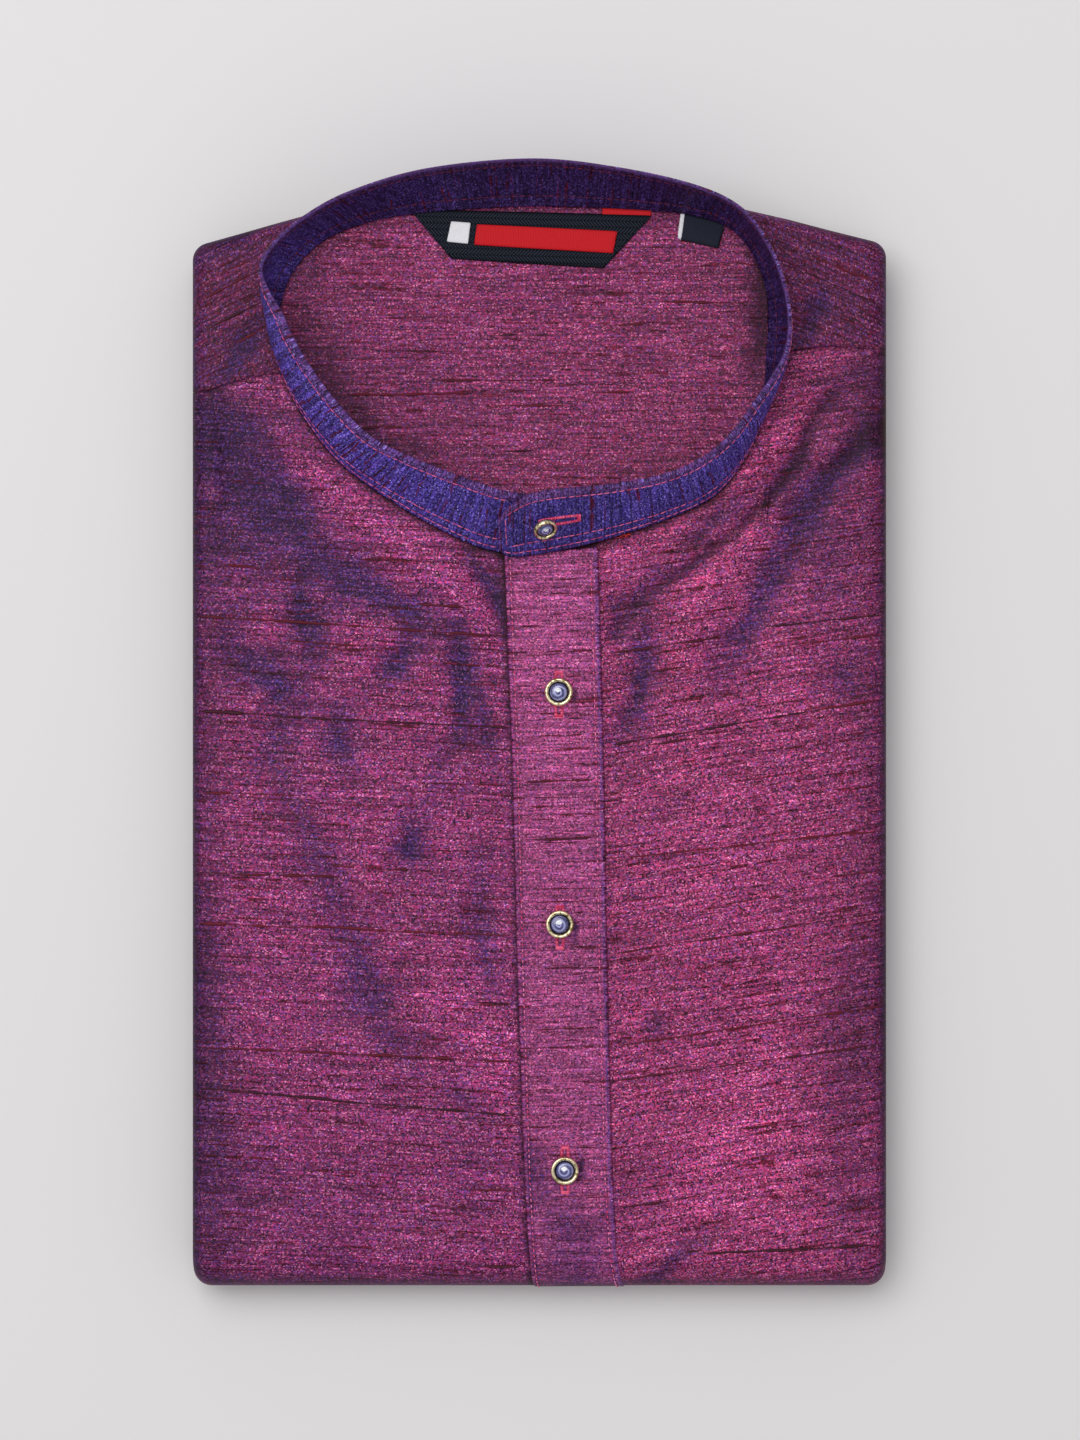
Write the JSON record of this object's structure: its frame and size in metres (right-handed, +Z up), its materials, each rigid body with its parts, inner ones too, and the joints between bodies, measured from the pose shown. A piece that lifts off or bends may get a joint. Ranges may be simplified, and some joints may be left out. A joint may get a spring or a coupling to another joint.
{
  "type": "folded kurta tunic",
  "caption": "Collared shot-silk tunic with a front placket and pearl buttons, buttoned and folded into a flat rectangular packet",
  "frame": {"origin": "Middle of the box that holds the folded packet with its collar, on the surface that it lies on", "axes": "+Z up out of the front of the tunic, +Y from the bottom fold to the collar, +X towards the wearer's left"},
  "size_m": [0.2506, 0.4062, 0.0494],
  "materials": {
    "silk": "slubbed plain weave, plum where lit and indigo where it turns away",
    "silk_across": "the same cloth turned a quarter, blue-violet",
    "label_tape": "dark woven herringbone tape",
    "white_satin": "woven satin",
    "red_satin": "woven satin",
    "brass_and_pearl": "polished rim round a pearly blue-grey dome"
  },
  "bodies": {
    "root": {"front_right": "silk", "front_left": "silk", "yoke": "silk", "inner_back": "silk", "folded_layers": "silk", "placket": "silk", "collar_stand": "silk_across", "button_collar": "brass_and_pearl", "button_1": "brass_and_pearl", "button_2": "brass_and_pearl", "button_3": "brass_and_pearl", "neck_label": "label_tape", "size_tab": "label_tape", "label_patch": "white_satin", "label_bar": "red_satin", "label_tab": "red_satin"}
  },
  "joints": []
}
